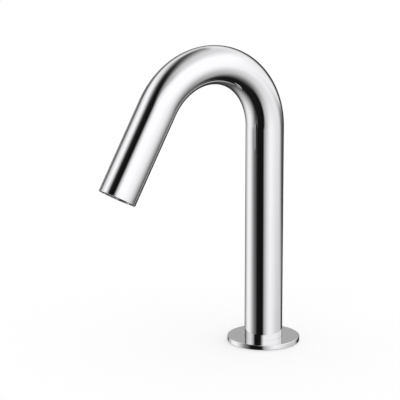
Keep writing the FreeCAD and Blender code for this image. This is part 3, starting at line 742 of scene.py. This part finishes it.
# The floor is a little under the flange's face, which gives the dark line under its rim. Its
# rings go from the far edge in to the hole that the shank goes through, in millimetres.
FLOOR_Z = -0.35
FLOOR_RINGS = (3000.0, 1000.0, 200.0, 40.0, 17.5)
FLOOR_GLOW = 0.28

# The camera: its place in metres, where it faces in degrees, and its focal length in the
# pixels of a picture 400 wide
CAMERA_AT = (1.30023, -0.9993, 0.52063)
CAMERA_YAW = 54.108
CAMERA_PITCH = 14.154
FOCAL_PIXELS = 2297.49
PICTURE_PIXELS = 400
SENSOR_WIDTH = 36.0


def card_share(graph, direction, card):
    """How much of the card a direction meets, from 0 off it to 1 well inside it.

    The place on the card is read in a stereographic map about the card's middle.
    """
    azimuth, elevation, roll, half_width, half_height, power, soft, skew = card
    turn, lift, spin = (math.radians(angle) for angle in (azimuth, elevation, roll))
    ahead = Vector(
        (math.cos(lift) * math.cos(turn), math.cos(lift) * math.sin(turn), math.sin(lift))
    )
    level = Vector((-math.sin(turn), math.cos(turn), 0.0))
    rise = ahead.cross(level)
    aside = level * math.cos(spin) + rise * math.sin(spin)
    above = rise * math.cos(spin) - level * math.sin(spin)

    def along(axis):
        inputs = {0: direction, 1: tuple(axis)}
        return graph.node("ShaderNodeVectorMath", inputs, operation="DOT_PRODUCT").outputs["Value"]

    depth = graph.math("MAXIMUM", graph.math("ADD", along(ahead), 1.0), 0.001)
    places = []
    for axis, half in ((aside, half_width), (above, half_height)):
        reach = math.tan(math.radians(half) / 2)
        places.append(graph.math("DIVIDE", along(axis), graph.math("MULTIPLY", depth, reach)))
    powers = [graph.math("POWER", graph.math("ABSOLUTE", place), power) for place in places]
    rim = graph.math("POWER", graph.math("ADD", *powers), 1 / power)
    tilt = graph.math("MAXIMUM", graph.math("MULTIPLY_ADD", places[0], skew, 1.0), 0.1)
    edge = graph.math("MULTIPLY", tilt, soft)
    inside = graph.math("DIVIDE", graph.math("SUBTRACT", graph.math("ADD", edge, 1.0), rim), edge)
    return graph.span(inside, 0.0, 1.0, 0.0, 2.0, smooth=True)


def studio_level(graph):
    """The level of the room in each direction: the dome, with the cards laid over it."""
    direction = graph.node("ShaderNodeTexCoord").outputs["Generated"]
    height = graph.node("ShaderNodeSeparateXYZ", {"Vector": direction}).outputs["Z"]
    elevation = graph.math("DEGREES", graph.math("ARCSINE", height))
    low, high, value = DOME_TOP
    level = graph.span(elevation, DOME_LEVEL, value, low, high, smooth=True)
    low, high, value = DOME_FLOOR
    level = graph.mix(graph.span(elevation, 1.0, 0.0, low, high, smooth=True), level, value)
    for *card, value in CARDS.values():
        level = graph.mix(card_share(graph, direction, card), level, value)
    return level


def make_world():
    """White to the camera, a plain level for soft light, and the studio's cards in the metal."""
    world = bpy.data.worlds.new("studio")
    bpy.context.scene.world = world
    world.cycles.sampling_method = "NONE"
    graph = Graph(world)
    path = graph.node("ShaderNodeLightPath").outputs
    lit = graph.blend(path["Is Diffuse Ray"], studio_level(graph), SOFT_LIGHT)
    seen = graph.blend(path["Is Camera Ray"], lit, WHITE)
    shader = graph.node("ShaderNodeBackground", {"Color": seen, "Strength": 1.0})
    graph.node("ShaderNodeOutputWorld", {"Surface": shader.outputs[0]})


def make_floor():
    """The pale deck, with the hole that the shank goes through.

    It shows white to the camera, less the object's shadow, and is clear from below.
    """
    rings = [(radius, FLOOR_Z) for radius in FLOOR_RINGS]
    floor = new_object("floor", turned(rings, FLOOR_AROUND, close_rows=False), closed=False)
    material = bpy.data.materials.new("floor_look")
    graph = Graph(material)
    cloud = graph.noise(3.0, 2.0)
    path = graph.node("ShaderNodeLightPath").outputs
    pale = graph.shader(
        base_color=graph.blend(cloud, (0.80, 0.80, 0.80), (0.82, 0.82, 0.82)),
        roughness=0.9,
        specular_ior_level=0.0,
        emission_color=WHITE,
        emission_strength=graph.math("MULTIPLY", path["Is Camera Ray"], FLOOR_GLOW),
    )
    clear = graph.node("ShaderNodeBsdfTransparent").outputs[0]
    below = graph.node("ShaderNodeNewGeometry").outputs["Backfacing"]
    mixed = graph.node("ShaderNodeMixShader", {0: below, 1: pale, 2: clear})
    graph.node("ShaderNodeOutputMaterial", {"Surface": mixed.outputs[0]})
    floor.data.materials.append(material)
    floor.visible_glossy = False


def make_camera():
    """The photograph's viewpoint: a long lens, a little above the tap."""
    data = bpy.data.cameras.new("camera")
    data.sensor_width = SENSOR_WIDTH
    data.lens = FOCAL_PIXELS / PICTURE_PIXELS * SENSOR_WIDTH
    data.clip_start = 0.05
    camera = bpy.data.objects.new("camera", data)
    yaw = math.radians(CAMERA_YAW)
    pitch = math.radians(CAMERA_PITCH)
    back = Vector(
        (math.sin(yaw) * math.cos(pitch), -math.cos(yaw) * math.cos(pitch), math.sin(pitch))
    )
    right = Vector((math.cos(yaw), math.sin(yaw), 0.0))
    facing = Matrix((right, back.cross(right), back)).transposed()
    camera.matrix_world = Matrix.Translation(CAMERA_AT) @ facing.to_4x4()
    bpy.context.scene.collection.objects.link(camera)
    bpy.context.scene.camera = camera


# ---------------------------------------------------------------- the scene

make_camera()
make_world()
make_floor()

finishes = make_finishes()
for name, node in nodes.items():
    node.data.materials.clear()
    node.data.materials.append(finishes[slot_of[name]])

pieces = {
    "spout_tube": make_spout(),
    "base_flange": make_flange(),
    "threaded_shank": make_shank(),
    "rubber_washer": make_washer(
        "rubber_washer_skin", RUBBER_BORE_R, RUBBER_R, STEEL_TOP, RUBBER_TOP, RUBBER_EDGE
    ),
    "steel_washer": make_washer(
        "steel_washer_skin", STEEL_BORE_R, STEEL_R, NUT_TOP, STEEL_TOP, STEEL_EDGE
    ),
    "fixing_nut": make_nut(),
    "inlet_nipple": make_nipple(),
}
ABOVE_DECK = ("spout_tube", "base_flange")  # the deck hides the rest from the mirror images
for name, piece in pieces.items():
    piece.data.materials.append(finishes[slot_of[name]])
    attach(piece, body_of[name])
    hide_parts(name)
    piece.visible_glossy = name in ABOVE_DECK

bpy.context.scene.view_settings.view_transform = "Standard"
